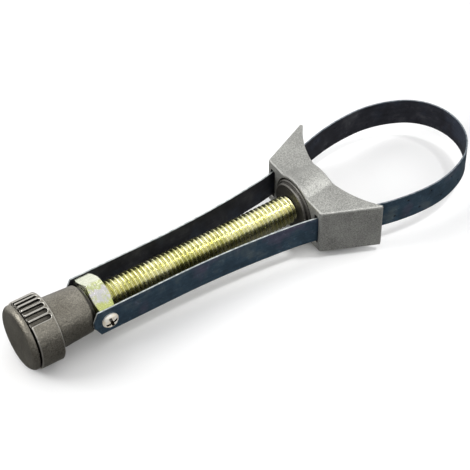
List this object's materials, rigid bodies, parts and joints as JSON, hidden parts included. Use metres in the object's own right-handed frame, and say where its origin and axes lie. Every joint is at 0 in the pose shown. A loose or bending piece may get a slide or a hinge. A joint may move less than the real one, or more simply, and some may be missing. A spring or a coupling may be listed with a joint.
{
  "type": "oil filter wrench",
  "caption": "Oil filter strap wrench: a knob turns a long screw that draws a nut and both ends of a steel strap along, so the loop through the saddle grows or closes round a filter.",
  "frame": {"origin": "centre of the filter loop's round nose at rest, on the screw's axis at the middle of the strap's width", "axes": "+X along the screw from the knob towards the loop's nose, +Z across the strap's width, along the filter's axis"},
  "size_m": [0.2749, 0.075, 0.0368],
  "materials": {
    "cast_knob": "sand-textured grey casting",
    "cast_saddle": "sand-textured light grey casting",
    "zinc_yellow": "yellow-passivated zinc plate",
    "dark_steel": "dark oiled steel",
    "bright_screw": "bright zinc plate",
    "blued_strap": "blued spring steel with bright edges"
  },
  "bodies": {
    "saddle": {"saddle_casting": "cast_saddle", "journal_washer": "dark_steel"},
    "screw": {"knob": "cast_knob", "threaded_rod": "zinc_yellow", "stop_washer": "dark_steel", "thrust_disc": "dark_steel", "retaining_ring": "dark_steel"},
    "nut": {"hex_nut": "zinc_yellow", "strap_screw_left": "bright_screw", "strap_screw_right": "bright_screw", "strap_leg_left": "blued_strap", "strap_leg_right": "blued_strap"},
    "loop": {"strap_loop": "blued_strap"}
  },
  "joints": [
    {"name": "knob_turn", "type": "hinge", "parent": "saddle", "child": "screw", "pos_m": [-0.0762, 0, 0], "axis": [1, 0, 0], "range_deg": [-10800, 0]},
    {"name": "nut_travel", "type": "slide", "parent": "saddle", "child": "nut", "axis": [1, 0, 0], "range_m": [0, 0.0751], "deforming": ["strap_leg_left", "strap_leg_right"]},
    {"name": "loop_growth", "type": "slide", "parent": "saddle", "child": "loop", "axis": [1, 0, 0], "range_m": [0, 0.0751]}
  ],
  "couplings": [
    {"joint": "nut_travel", "follows": "knob_turn", "m_per_rad": -0.00039789},
    {"joint": "loop_growth", "follows": "knob_turn", "m_per_rad": -0.00039789}
  ]
}
